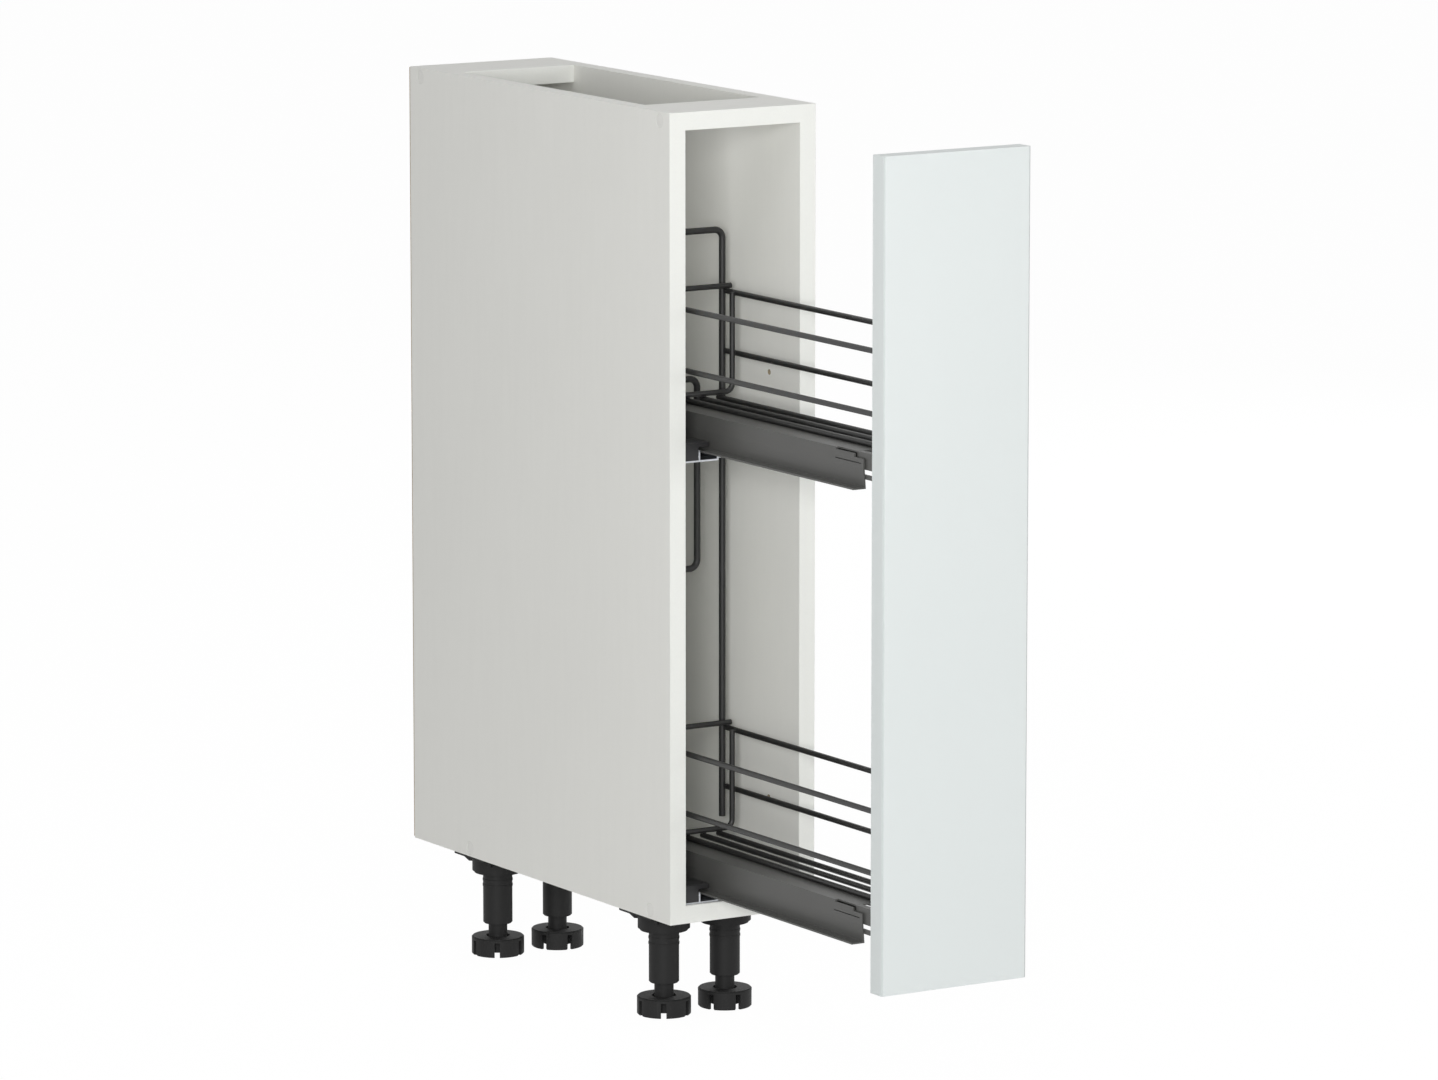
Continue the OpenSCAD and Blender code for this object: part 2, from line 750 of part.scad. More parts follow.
// Middle slide member, a C that runs in the fixed one
module middle_member(z) {
    h = middle_h / 2;
    x0 = middle_web_x;
    color("silver") translate([0, 0, z + slide_z]) difference() {
        along_y(middle_y0, middle_y0 + middle_len) translate([wall_x + slide_x, 0]) polygon([
            [x0, -h], [x0 + middle_w, -h], [x0 + middle_w, -h + middle_flange_t],
            [x0 + middle_web_t, -h + middle_flange_t], [x0 + middle_web_t, h - middle_flange_t],
            [x0 + middle_w, h - middle_flange_t], [x0 + middle_w, h], [x0, h]]);
        tracks(middle_y0, middle_y0 + middle_len, big_x, big_z, big_groove);
        tracks(middle_y0, middle_y0 + middle_len, small_x, small_z, small_groove);
    }
}

// Inner slide member, a C open to the left that is riveted to the channel
module inner_member(z) {
    h = inner_h / 2;
    x1 = inner_x1 - slide_x;
    color("silver") translate([0, 0, z + slide_z]) difference() {
        along_y(inner_y0, inner_y0 + inner_len) translate([wall_x + slide_x, 0]) polygon([
            [inner_flange_x, -h], [x1, -h], [x1, h], [inner_flange_x, h], [inner_flange_x, h - inner_t],
            [x1 - inner_t, h - inner_t], [x1 - inner_t, -h + inner_t], [inner_flange_x, -h + inner_t]]);
        tracks(inner_y0, inner_y0 + inner_len, small_x, small_z, small_groove);
        translate([0, 0, -z - slide_z]) channel_rivet_set(z, fit, cut);
    }
}

// Ball cage: a thin back with a tab above and below, and a hole for each ball
module cage(z, y0, len, n, back_x, x, ball_z, ball_r) {
    half = ball_z + cage_tab_t / 2;
    color("dimgray") translate([wall_x + slide_x, 0, z + slide_z]) difference() {
        along_y(y0, y0 + len) polygon([
            [back_x, -half], [x + ball_r + 1, -half], [x + ball_r + 1, -half + cage_tab_t],
            [back_x + cage_t, -half + cage_tab_t], [back_x + cage_t, half - cage_tab_t],
            [x + ball_r + 1, half - cage_tab_t], [x + ball_r + 1, half], [back_x, half]]);
        for (i = [0:n - 1], s = [-1, 1])
            translate([x, y0 + cage_end + i * ball_pitch, s * ball_z - cut])
                cylinder(h = 2 * cut, r = ball_r + cage_play, $fn = small);
    }
}

module balls(z, y0, n, x, ball_z, ball_r) {
    color("gray") for (i = [0:n - 1], s = [-1, 1])
        translate([wall_x + slide_x + x, y0 + cage_end + i * ball_pitch, z + slide_z + s * ball_z])
            sphere(r = ball_r, $fn = small);
}

module long_cage(z) {
    cage(z, long_cage_y, long_cage_len, balls_long, outer_t + cage_gap, big_x, big_z, big_r);
}
module long_balls(z) {
    balls(z, long_cage_y, balls_long, big_x, big_z, big_r);
}
module short_cage(z) {
    back = middle_web_x + middle_web_t + cage_gap;
    cage(z, short_cage_y, short_cage_len, balls_short, back, small_x, small_z, small_r);
}
module short_balls(z) {
    balls(z, short_cage_y, balls_short, small_x, small_z, small_r);
}

// Painted channel under a basket, an inverted U with a flange turned out at its left foot.
// At its front the top is cut back and a tab is slit free to hold the front bracket.
module channel(z) {
    x0 = channel_x;
    x1 = channel_x + channel_w;
    t = channel_t;
    top = channel_top;
    color([0.35, 0.35, 0.36]) translate([wall_x, 0, z]) difference() {
        along_y(channel_y0, channel_y1) polygon([
            [x0 - channel_flange, channel_low], [x0 + t + channel_lean, channel_low],
            [x0 + t, channel_fold_z], [x0 + t, top - t], [x1 - t, top - t],
            [x1 - t, channel_low], [x1, channel_low], [x1, top], [x0, top], [x0, channel_fold_z],
            [x0 + channel_lean, channel_low + t], [x0 - channel_flange, channel_low + t]]);
        block([x0 - cut, channel_y0 - cut, top - notch_h], [x1 + cut, channel_y0 + notch_len, top + cut]);
        block([x0 - cut, channel_y0, top - slit_h],
            [x0 + slit_in, channel_y0 + notch_len + slit_len, top + cut]);
        block([x1 - t - cut, channel_y0 - cut, channel_low - cut],
            [x1 + cut, channel_y0 + web_cut, top - notch_h]);
        block([x0 - cut, channel_y0 + 4, top - slit_two_drop],
            [x0 + t + fit, channel_y0 + 4 + slit_two_len, top - slit_two_drop + slit_two_h]);
        translate([-wall_x, 0, -z]) channel_rivet_set(z, fit, cut);
    }
}

module channel_rivet_set(z, grow, over) {
    for (y = rivet_ys(inner_y0, inner_y0 + inner_len, rivet_n))
        bar_x([wall_x + inner_x1 - inner_t - over, y, z + slide_z], inner_t + channel_t + 2 * over,
            rivet_d + 2 * grow, 24);
}

module channel_rivets() {
    color("silver") for (z = [lower_z, upper_z]) {
        channel_rivet_set(z, 0, 0);
        for (y = rivet_ys(inner_y0, inner_y0 + inner_len, rivet_n))
            bar_x([wall_x + inner_x1 + channel_t, y, z + slide_z], rivet_head_t, rivet_head_d, 24);
    }
}

// Four long rails of one basket
module basket_rails(z) {
    color([0.2, 0.2, 0.2]) for (x = rail_x, h = [rail_low_z, rail_high_z])
        bar_y([x, rail_y0, z + h], rail_y1 - rail_y0, wire_d);
}

// Two hoops that go down one side, across the floor and up the other, and two cross wires on the rails
module basket_hoops(z) {
    color([0.2, 0.2, 0.2]) {
        for (y = hoop_y) bent_wire([[hoop_x[0], z + rail_high_z + 1], [hoop_x[0], z + hoop_z],
            [hoop_x[1], z + hoop_z], [hoop_x[1], z + rail_high_z + 1]], y, wire_d, hoop_bend);
        for (y = cross_y)
            bar_x([rail_x[0] - cross_over, y, z + rail_high_z + wire_d], basket_w + 2 * cross_over, wire_d);
    }
}

// Floor wires: the first lies on the channel and the others beside it
module basket_floor(z) {
    color([0.2, 0.2, 0.2]) for (i = [0:floor_n - 1])
        bar_y([floor_x0 + i * floor_pitch, floor_y0, z + floor_wire_z], floor_y1 - floor_y0, wire_d);
}

// Frame behind the baskets. Its left leg steps aside to pass the fixed upper runner.
module rear_frame() {
    step_x = wall_x + step_in;
    color([0.18, 0.18, 0.18]) bent_wire([
        [leg_x[0], lower_z + frame_low], [leg_x[0], upper_z - step_low], [step_x, upper_z - step_low],
        [step_x, upper_z + step_high], [leg_x[0], upper_z + step_high], [leg_x[0], upper_z + frame_top],
        [leg_x[1], upper_z + frame_top], [leg_x[1], lower_z + frame_low]], frame_y, frame_d, frame_bend);
}

// Bracket from a channel to the front: a slotted arm inside the channel and a plate behind the front
module front_bracket(z) {
    y0 = panel_in_y;
    x0 = wall_x + arm_x;
    y1 = channel_y0 + notch_len - arm_end_gap;
    top = z + channel_top;
    color([0.3, 0.3, 0.31]) difference() {
        union() {
            block([x0, y0, z + arm_low], [x0 + arm_t, y1, top]);
            block([x0, y0, z + arm_low],
                [x0 + arm_t, channel_y0 + arm_in, top - channel_t - arm_drop]);
            translate([0, 0, top - arm_top_t]) linear_extrude(height = arm_top_t) polygon([
                [x0, y0], [x0 + arm_top_w, y0], [x0 + arm_top_end, y1], [x0, y1]]);
            block([x0, y0, z + plate_low], [x0 + plate_w, y0 + plate_t, z + plate_high]);
        }
        block([x0 - cut, y0 + plate_t + 3, z + arm_slot_low],
            [x0 + arm_t + cut, channel_y0 + arm_slot_in, z + arm_slot_high]);
        plate_screw_set(z, fit, cut);
    }
}

module plate_screw_set(z, grow, over) {
    for (p = plate_screws)
        bar_y([wall_x + arm_x + p[0], panel_in_y - plate_screw_len, z + plate_low + p[1]],
            plate_screw_len + plate_t + over, plate_screw_d + 2 * grow, 24);
}

module front_bracket_screws() {
    color("silver") for (z = [lower_z, upper_z]) {
        plate_screw_set(z, 0, 0);
        for (p = plate_screws)
            bar_y([wall_x + arm_x + p[0], panel_in_y + plate_t, z + plate_low + p[1]],
                plate_screw_head_t, plate_screw_head_d, 24);
    }
}

// Front panel, with its upright outer edges rounded
module front_panel() {
    x1 = half_w - front_side_gap;
    r = front_round;
    color("white") difference() {
        translate([0, 0, foot_h + front_lift]) linear_extrude(height = front_h) union() {
            translate([-x1, panel_out_y + r]) square([2 * x1, front_t - r]);
            translate([-x1 + r, panel_out_y]) square([2 * (x1 - r), front_t]);
            for (s = [-1, 1]) translate([s * (x1 - r), panel_out_y + r]) circle(r = r, $fn = small);
        }
        for (z = [lower_z, upper_z]) plate_screw_set(z, fit, 0);
    }
}

module front_bumpers() {
    x = half_w - board_t / 2;
    z0 = foot_h + board_t / 2 + 4;
    z1 = foot_h + carcass_h - board_t / 2 - 4;
    color([0.7, 0.7, 0.7]) for (i = [-1, 1], z = [z0, z1])
        bar_y([i * x, panel_in_y, z], bumper_t, bumper_d);
}

left_side_panel();
right_side_panel();
bottom_panel();
top_front_rail();
top_rear_rail();
back_panel();
edge_bands();
carcass_screws();
screw_caps();
wood_dowels();
back_nails();
leg_sockets();
socket_screws();
leg_tubes();
foot_stem(foot_x[0], foot_y[0]);  // foot_stem_fl
foot_disc(foot_x[0], foot_y[0], disc_turn[0]);  // foot_disc_fl
foot_stem(foot_x[1], foot_y[0]);  // foot_stem_fr
foot_disc(foot_x[1], foot_y[0], disc_turn[1]);  // foot_disc_fr
foot_stem(foot_x[0], foot_y[1]);  // foot_stem_rl
foot_disc(foot_x[0], foot_y[1], disc_turn[0]);  // foot_disc_rl
foot_stem(foot_x[1], foot_y[1]);  // foot_stem_rr
foot_disc(foot_x[1], foot_y[1], disc_turn[1]);  // foot_disc_rr
runner_bracket(upper_z);  // runner_bracket_upper
runner_bracket(lower_z);  // runner_bracket_lower
guide_block(upper_z);  // guide_block_upper
guide_block(lower_z);  // guide_block_lower
outer_member(upper_z);  // outer_member_upper
outer_member(lower_z);  // outer_member_lower
end_buffers();
runner_screws();
runner_rivets();
middle_member(upper_z);  // middle_member_upper
middle_member(lower_z);  // middle_member_lower
long_cage(upper_z);  // long_cage_upper
long_cage(lower_z);  // long_cage_lower
long_balls(upper_z);  // long_balls_upper
long_balls(lower_z);  // long_balls_lower
short_cage(upper_z);  // short_cage_upper
short_cage(lower_z);  // short_cage_lower
short_balls(upper_z);  // short_balls_upper
short_balls(lower_z);  // short_balls_lower
inner_member(upper_z);  // inner_member_upper
inner_member(lower_z);  // inner_member_lower
channel(upper_z);  // channel_upper
channel(lower_z);  // channel_lower
channel_rivets();
basket_rails(upper_z);  // basket_rails_upper
basket_rails(lower_z);  // basket_rails_lower
basket_hoops(upper_z);  // basket_hoops_upper
basket_hoops(lower_z);  // basket_hoops_lower
basket_floor(upper_z);  // basket_floor_upper
basket_floor(lower_z);  // basket_floor_lower
rear_frame();
front_bracket(upper_z);  // front_bracket_upper
front_bracket(lower_z);  // front_bracket_lower
front_bracket_screws();
front_panel();
front_bumpers();
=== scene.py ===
import json
import math

import bmesh
import bpy
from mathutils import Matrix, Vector


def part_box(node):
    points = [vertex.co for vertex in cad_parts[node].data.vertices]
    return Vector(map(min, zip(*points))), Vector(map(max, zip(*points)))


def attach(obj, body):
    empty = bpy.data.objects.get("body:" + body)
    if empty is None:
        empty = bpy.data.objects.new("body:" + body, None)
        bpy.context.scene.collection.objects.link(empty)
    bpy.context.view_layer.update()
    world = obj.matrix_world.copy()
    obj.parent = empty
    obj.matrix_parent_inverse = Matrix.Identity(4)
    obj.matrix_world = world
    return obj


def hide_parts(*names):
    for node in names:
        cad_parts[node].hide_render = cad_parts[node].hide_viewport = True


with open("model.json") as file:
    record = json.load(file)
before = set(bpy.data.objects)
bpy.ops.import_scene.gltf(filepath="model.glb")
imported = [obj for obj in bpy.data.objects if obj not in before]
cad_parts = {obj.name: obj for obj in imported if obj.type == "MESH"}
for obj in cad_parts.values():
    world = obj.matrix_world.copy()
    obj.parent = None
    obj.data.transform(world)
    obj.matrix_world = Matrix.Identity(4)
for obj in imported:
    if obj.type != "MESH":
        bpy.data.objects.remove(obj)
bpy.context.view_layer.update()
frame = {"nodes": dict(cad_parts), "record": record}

# Camera. It stands to the left in front of the cabinet, a little above it, and was fitted to the
# picture's edges, so the whole 1438 x 1080 frame lines up with the pulled-out front and the baskets.
view_point = (-3.63401, -5.90246, 1.58080)
view_turn = math.radians(31.7039)
view_drop = math.radians(9.42667)
focal_pixels = 7926.78
picture_width = 1438
eye = bpy.data.cameras.new("eye")
eye.sensor_fit = "HORIZONTAL"
eye.sensor_width = 36.0
eye.lens = focal_pixels / picture_width * eye.sensor_width
eye.clip_start, eye.clip_end = 0.1, 100.0
stand = bpy.data.objects.new("eye", eye)
stand.location = view_point
stand.rotation_euler = (math.pi / 2 - view_drop, 0.0, -view_turn)
bpy.context.collection.objects.link(stand)
bpy.context.scene.camera = stand


# Side panels, bottom and top rails: 16 mm particleboard faced with white melamine that has a faint
# upright grain. Arrises are eased, and bores and sawn lower edges of the sides show the raw chips.
class Tone:
    """A number or colour on its way through the nodes of a finish."""

    def __init__(self, tree, socket):
        self.tree = tree
        self.socket = socket

    def mixed(self, operation, first, second):
        node = self.tree.nodes.new("ShaderNodeMath")
        node.operation = operation
        for slot, value in zip(node.inputs, (first, second)):
            if isinstance(value, Tone):
                self.tree.links.new(value.socket, slot)
            else:
                slot.default_value = value
        return Tone(self.tree, node.outputs[0])

    def __add__(self, other):
        return self.mixed("ADD", self, other)

    def __radd__(self, other):
        return self.mixed("ADD", other, self)

    def __mul__(self, other):
        return self.mixed("MULTIPLY", self, other)

    def __rmul__(self, other):
        return self.mixed("MULTIPLY", other, self)


class Workings:
    """The nodes of one finish, or of one part that repeats or follows a path."""

    def __init__(self, tree):
        self.tree = tree
        tree.nodes.clear()

    def add(self, kind, settings=None, sockets=None, out=0):
        node = self.tree.nodes.new(kind)
        for key, value in (settings or {}).items():
            if key == "stops":
                ramp = node.color_ramp.elements
                while len(ramp) < len(value):
                    ramp.new(1.0)
                for element, (place, colour) in zip(ramp, value):
                    element.position = place
                    element.color = colour
            else:
                setattr(node, key, value)
        for key, value in (sockets or {}).items():
            if isinstance(value, Tone):
                self.tree.links.new(value.socket, node.inputs[key])
            else:
                node.inputs[key].default_value = value
        return Tone(self.tree, node.outputs[out]) if node.outputs else None


def srgb(red, green, blue):
    """A colour as the eye reads it, 0 to 255, as the linear colour that a shader wants."""
    return tuple((v / 255 / 12.92) if v < 10.3 else ((v / 255 + 0.055) / 1.055) ** 2.4
                 for v in (red, green, blue)) + (1.0,)


class Finish:
    """A surface finish: a shader, the place on the piece, and what varies over it."""

    def __init__(self, name, **constants):
        self.material = bpy.data.materials.new(name)
        self.material.use_nodes = True
        self.nodes = Workings(self.material.node_tree)
        self.place = self.nodes.add("ShaderNodeTexCoord", out="Object")
        self.surface = self.nodes.add("ShaderNodeBsdfPrincipled")
        self.nodes.add("ShaderNodeOutputMaterial", {}, {"Surface": self.surface})
        self.set(**constants)

    def set(self, **sockets):
        for key, value in sockets.items():
            slot = self.surface.socket.node.inputs[key.replace("_", " ")]
            if isinstance(value, Tone):
                self.material.node_tree.links.new(value.socket, slot)
            else:
                slot.default_value = value

    def grain(self, scale, detail=3.0, stretch=(1, 1, 1), seed=0.0):
        """Noise with so many cells to the metre, 0 to 1, drawn out along the axes by stretch."""
        place = self.nodes.add("ShaderNodeMapping", {}, {
            "Vector": self.place, "Scale": tuple(1 / s for s in stretch),
            "Location": (seed, seed * 0.7, seed * 1.3)})
        return self.nodes.add("ShaderNodeTexNoise", {}, {
            "Vector": place, "Scale": scale, "Detail": detail, "Roughness": 0.55})

    def steps(self, value, *stops):
        """A value pushed through grey stops, given as place and level."""
        greys = [(place, (level, level, level, 1.0)) for place, level in stops]
        return self.nodes.add("ShaderNodeValToRGB", {"stops": greys}, {"Fac": value})

    def blend(self, amount, first, second):
        return self.nodes.add("ShaderNodeMix", {"data_type": "RGBA"}, {
            0: amount, 6: first, 7: second}, out=2)

    def relief(self, height, depth):
        """Bump of so many metres from a 0 to 1 height."""
        self.set(Normal=self.nodes.add("ShaderNodeBump", {}, {
            "Height": height, "Distance": depth, "Strength": 1.0}))


melamine = Finish("white_melamine", Specular_IOR_Level=0.45)
pores = melamine.grain(900, detail=2)
upright = melamine.grain(170, detail=3, stretch=(1, 1, 14))
cloud = melamine.grain(5, detail=2)
white_of = cloud * 0.5 + upright * 0.5
melamine.set(Base_Color=melamine.blend(white_of, srgb(236, 236, 231), srgb(243, 243, 238)),
             Roughness=0.42 + pores * 0.12)
melamine.relief(pores * 0.6 + upright * 0.4, 0.00004)

chipboard = Finish("sawn_chipboard", Roughness=0.9)
chips = chipboard.grain(420, detail=5, stretch=(1, 2.5, 1))
specks = chipboard.grain(1500, detail=3, seed=3.0)
chipboard.set(Base_Color=chipboard.blend(chips, srgb(140, 128, 104), srgb(194, 181, 154)))
chipboard.relief(chips * 0.6 + specks * 0.4, 0.0003)

node_body = {node: body for body, nodes in frame["record"]["behaviour"]["bodies"].items() for node in nodes}


def dress(piece, node, finish):
    """The piece takes the place of a solid, moves with its body and wears a finish."""
    piece.data.materials.clear()
    piece.data.materials.append(finish.material)
    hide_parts(node)
    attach(piece, node_body[node])
    return piece


def crease(mesh, angle):
    """Smooth faces, with every edge sharp that turns by more than the angle, in degrees."""
    shape = bmesh.new()
    shape.from_mesh(mesh)
    for face in shape.faces:
        face.smooth = True
    for edge in shape.edges:
        edge.smooth = len(edge.link_faces) == 2 and edge.calc_face_angle() < math.radians(angle)
    shape.to_mesh(mesh)
    shape.free()


def kept(piece):
    """Makes what a piece's modifiers show its own plain mesh."""
    bpy.context.view_layer.update()
    made = bpy.data.meshes.new_from_object(piece.evaluated_get(bpy.context.evaluated_depsgraph_get()))
    piece.modifiers.clear()
    made.name = piece.name
    piece.data = made
    return piece


def worked(piece, kind, **settings):
    """Runs one modifier on a piece and keeps its result."""
    step = piece.modifiers.new("work", kind)
    for key, value in settings.items():
        setattr(step, key, value)
    return kept(piece)


def laid(name, shape):
    """A mesh being built, set down as an object of that name."""
    mesh = bpy.data.meshes.new(name)
    shape.to_mesh(mesh)
    shape.free()
    piece = bpy.data.objects.new(name, mesh)
    bpy.context.collection.objects.link(piece)
    return piece


def eased(piece, arris, steps=2, least=35, fold=60):
    """Rounds the arrises over by so many metres, and keeps faces flat and folds above an angle sharp."""
    worked(piece, "BEVEL", width=arris, segments=steps, limit_method="ANGLE",
           angle_limit=math.radians(least), use_clamp_overlap=True)
    crease(piece.data, fold)
    return worked(piece, "WEIGHTED_NORMAL", mode="FACE_AREA", weight=50, keep_sharp=True)


def merged(node):
    """A solid's loose triangles joined into whole faces."""
    shape = bmesh.new()
    shape.from_mesh(frame["nodes"][node].data)
    bmesh.ops.remove_doubles(shape, verts=shape.verts, dist=1e-6)
    bmesh.ops.dissolve_limit(shape, angle_limit=math.radians(0.5), verts=shape.verts, edges=shape.edges)
    return shape


def eased_copy(node, arris, steps=2, least=35, fold=60):
    """A solid's copy with its arrises rounded over, to take the solid's place."""
    return eased(laid(node + "_eased", merged(node)), arris, steps, least, fold)


# A face deeper than this from every side of a board is the wall of a bore
skin_t = (0.0013, 0.002, 0.002)
touching = 1e-5
for node in ("left_side_panel", "right_side_panel", "bottom_panel", "top_front_rail", "top_rear_rail"):
    board = dress(eased_copy(node, 0.0004), node, melamine)
    board.data.materials.append(chipboard.material)
    low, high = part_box(node)
    for face in board.data.polygons:
        at = face.center
        lower_edge = "side" in node and face.normal.z < -0.9 and at.z < low.z + touching
        in_bore = "side" in node and all(low[i] + skin_t[i] < at[i] < high[i] - skin_t[i] for i in range(3))
        if lower_edge or in_bore:
            face.material_index = 1


# Edge bands: 1 mm plastic strips glued to the front edges and to the rear rail's front edge, in the
# boards' white but a touch glossier, so the glue line shows as a hair line all round.
banding = Finish("edge_banding", Specular_IOR_Level=0.5)
band_pores = banding.grain(700, detail=2)
banding.set(Base_Color=banding.blend(band_pores, srgb(240, 241, 236), srgb(245, 246, 241)),
            Roughness=0.34 + band_pores * 0.1)
banding.relief(band_pores, 0.00002)
dress(eased_copy("edge_bands", 0.0003), "edge_bands", banding)


# Back panel: 3 mm fibreboard, white inside, nailed to the rear edges of the boards. Its back and its
# edges are bare brown-grey fibre, pressed smooth, with dark flecks of bark.
fibreboard = Finish("bare_fibreboard", Roughness=0.75)
felt = fibreboard.grain(300, detail=6)
flecks = fibreboard.steps(fibreboard.grain(140, detail=2, seed=5.0), (0.66, 0.0), (0.74, 1.0))
fibre_colour = fibreboard.blend(felt, srgb(162, 142, 118), srgb(188, 168, 142))
fibreboard.set(Base_Color=fibreboard.blend(flecks, fibre_colour, srgb(124, 102, 80)))
fibreboard.relief(felt, 0.00008)
back = dress(eased_copy("back_panel", 0.0002), "back_panel", fibreboard)
back.data.materials.append(melamine.material)
for face in back.data.polygons:
    if face.normal.y < -0.9 and face.center.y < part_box("back_panel")[0].y + touching:
        face.material_index = 1


# Fixings of the carcass: screws into the board ends under flush white caps, beech dowels, and small
# nails through the back panel. A screw, cap or nail is turned once and set out where its solids are.
def lumps(node):
    """Lowest and highest corner of each loose part of a solid."""
    shape = bmesh.new()
    shape.from_mesh(frame["nodes"][node].data)
    bmesh.ops.remove_doubles(shape, verts=shape.verts, dist=1e-6)
    left, found = set(shape.verts), []
    while left:
        waiting = [left.pop()]
        corners = []
        while waiting:
            vert = waiting.pop()
            corners.append(vert.co.copy())
            for edge in vert.link_edges:
                other = edge.other_vert(vert)
                if other in left:
                    left.remove(other)
                    waiting.append(other)
        found.append(tuple(Vector([pick(c[i] for c in corners) for i in range(3)]) for pick in (min, max)))
    shape.free()
    return found


def turned(name, outline, thread=None, around=28):
    """A round piece from (height, radius) points, bottom to top; thread is (from, to, pitch, rise)."""
    rows = []
    for (z0, r0), (z1, r1) in zip(outline, outline[1:]):
        rows.append((z0, r0))
        if thread and abs(r1 - r0) < 1e-6 and z1 > thread[0] and z0 < thread[1]:
            count = math.ceil((z1 - z0) / thread[2] * 6)
            rows += [(z0 + (z1 - z0) * i / count, r0) for i in range(1, count)]
    rows.append(outline[-1])
    shape = bmesh.new()
    rings = []
    for z, r in rows:
        ring = []
        for k in range(around):
            turn = 2 * math.pi * k / around
            rise = 0.0
            if thread and thread[0] < z < thread[1]:
                fade = min(1.0, (z - thread[0]) / thread[2], (thread[1] - z) / thread[2])
                rise = thread[3] * fade * (0.5 + 0.5 * math.cos(2 * math.pi * z / thread[2] - turn)) ** 3
            ring.append(shape.verts.new(((r + rise) * math.cos(turn), (r + rise) * math.sin(turn), z)))
        rings.append(ring)
    for lower, upper in zip(rings, rings[1:]):
        for k in range(around):
            n = (k + 1) % around
            shape.faces.new((lower[k], lower[n], upper[n], upper[k]))
    bmesh.ops.remove_doubles(shape, verts=shape.verts, dist=1e-7)
    for ring in (rings[0], rings[-1]):
        rim = [v for v in ring if v.is_valid]
        if len(rim) > 2:
            shape.faces.new(rim)
    bmesh.ops.recalc_face_normals(shape, faces=shape.faces)
    return laid(name, shape)


def node_group(name, sizes):
    """An empty group for geometry, with named sizes."""
    group = bpy.data.node_groups.new(name, "GeometryNodeTree")
    group.interface.new_socket("Geometry", in_out="INPUT", socket_type="NodeSocketGeometry")
    for key, (kind, value) in sizes.items():
        socket = group.interface.new_socket(key, in_out="INPUT", socket_type="NodeSocket" + kind)
        if value is not None:
            socket.default_value = value
    group.interface.new_socket("Geometry", in_out="OUTPUT", socket_type="NodeSocketGeometry")
    work = Workings(group)
    entry = work.add("NodeGroupInput")
    gate = {s.name: Tone(group, s) for s in entry.socket.node.outputs if s.name}
    return group, work, gate


def finished(work, geometry, gate):
    """Makes the instances real, gives them the finish and ends the group."""
    real = work.add("GeometryNodeRealizeInstances", {}, {"Geometry": geometry})
    work.add("NodeGroupOutput", {}, {0: work.add("GeometryNodeSetMaterial", {}, {
        "Geometry": real, "Material": gate["Finish"]})})


def formed(name, points, edges, group, **sizes):
    """Runs a group on a start of points and edges, and keeps what it makes as a plain mesh."""
    start = bpy.data.meshes.new(name)
    start.from_pydata([tuple(p) for p in points], edges, [])
    piece = bpy.data.objects.new(name, start)
    bpy.context.collection.objects.link(piece)
    step = piece.modifiers.new("form", "NODES")
    step.node_group = group
    names = {item.name: item.identifier for item in group.interface.items_tree
             if item.item_type == "SOCKET" and item.in_out == "INPUT"}
    for key, value in sizes.items():
        step[names[key.replace("_", " ")]] = value
    kept(piece)
    crease(piece.data, 38)
    return piece


# A turned blank set out on points, with an optional cross recess sunk into its head
set_out, step, gate = node_group("set_out_fixings", {
    "Blank": ("Object", None), "Recess": ("Float", 0.0), "Depth": ("Float", 0.001),
    "Turn": ("Vector", (0, 0, 0)), "Finish": ("Material", None)})
blank = step.add("GeometryNodeObjectInfo", {}, {"Object": gate["Blank"]}, out="Geometry")
arm = gate["Recess"] * 0.24
wing_one = step.add("GeometryNodeMeshCube", {}, {"Size": step.add("ShaderNodeCombineXYZ", {}, {
    "X": gate["Recess"], "Y": arm, "Z": gate["Depth"]})})
wing_two = step.add("GeometryNodeMeshCube", {}, {"Size": step.add("ShaderNodeCombineXYZ", {}, {
    "X": arm, "Y": gate["Recess"], "Z": gate["Depth"]})})
less = {"operation": "DIFFERENCE"}
half_sunk = step.add("GeometryNodeMeshBoolean", less, {"Mesh 1": blank, "Mesh 2": wing_one})
sunk = step.add("GeometryNodeMeshBoolean", less, {"Mesh 1": half_sunk, "Mesh 2": wing_two})
has_recess = step.add("FunctionNodeCompare", {"data_type": "FLOAT", "operation": "GREATER_THAN"}, {
    0: gate["Recess"], 1: 0.0})
head = step.add("GeometryNodeSwitch", {"input_type": "GEOMETRY"}, {
    "Switch": has_recess, "False": blank, "True": sunk})
finished(step, step.add("GeometryNodeInstanceOnPoints", {}, {
    "Points": gate["Geometry"], "Instance": head, "Rotation": gate["Turn"]}), gate)

# A blank stands with its head up. These turns point the head along an axis, to its high or low side.
quarter = math.pi / 2
head_turn = {(0, 1): (0.0, quarter, 0.0), (0, -1): (0.0, -quarter, 0.0),
             (1, 1): (-quarter, 0.0, 0.0), (2, -1): (2 * quarter, 0.0, 0.0)}


def fixings(node, finish, blank, axis, sides, recess=0.0, depth=0.001):
    """Replaces a solid of fixings. The function sides gives the side of a lump's head along the axis."""
    parts = {}
    for low, high in lumps(node):
        side = sides(low, high)
        place = (low + high) / 2
        place[axis] = high[axis] if side > 0 else low[axis]
        parts.setdefault(side, []).append(place)
    shape = bmesh.new()
    for side, places in parts.items():
        made = formed(node + "_part", places, [], set_out, Blank=blank, Recess=recess, Depth=depth,
                      Turn=head_turn[axis, side], Finish=finish.material)
        shape.from_mesh(made.data)
        bpy.data.objects.remove(made)
    whole = laid(node + "_set", shape)
    bpy.data.objects.remove(blank)
    dress(whole, node, finish)


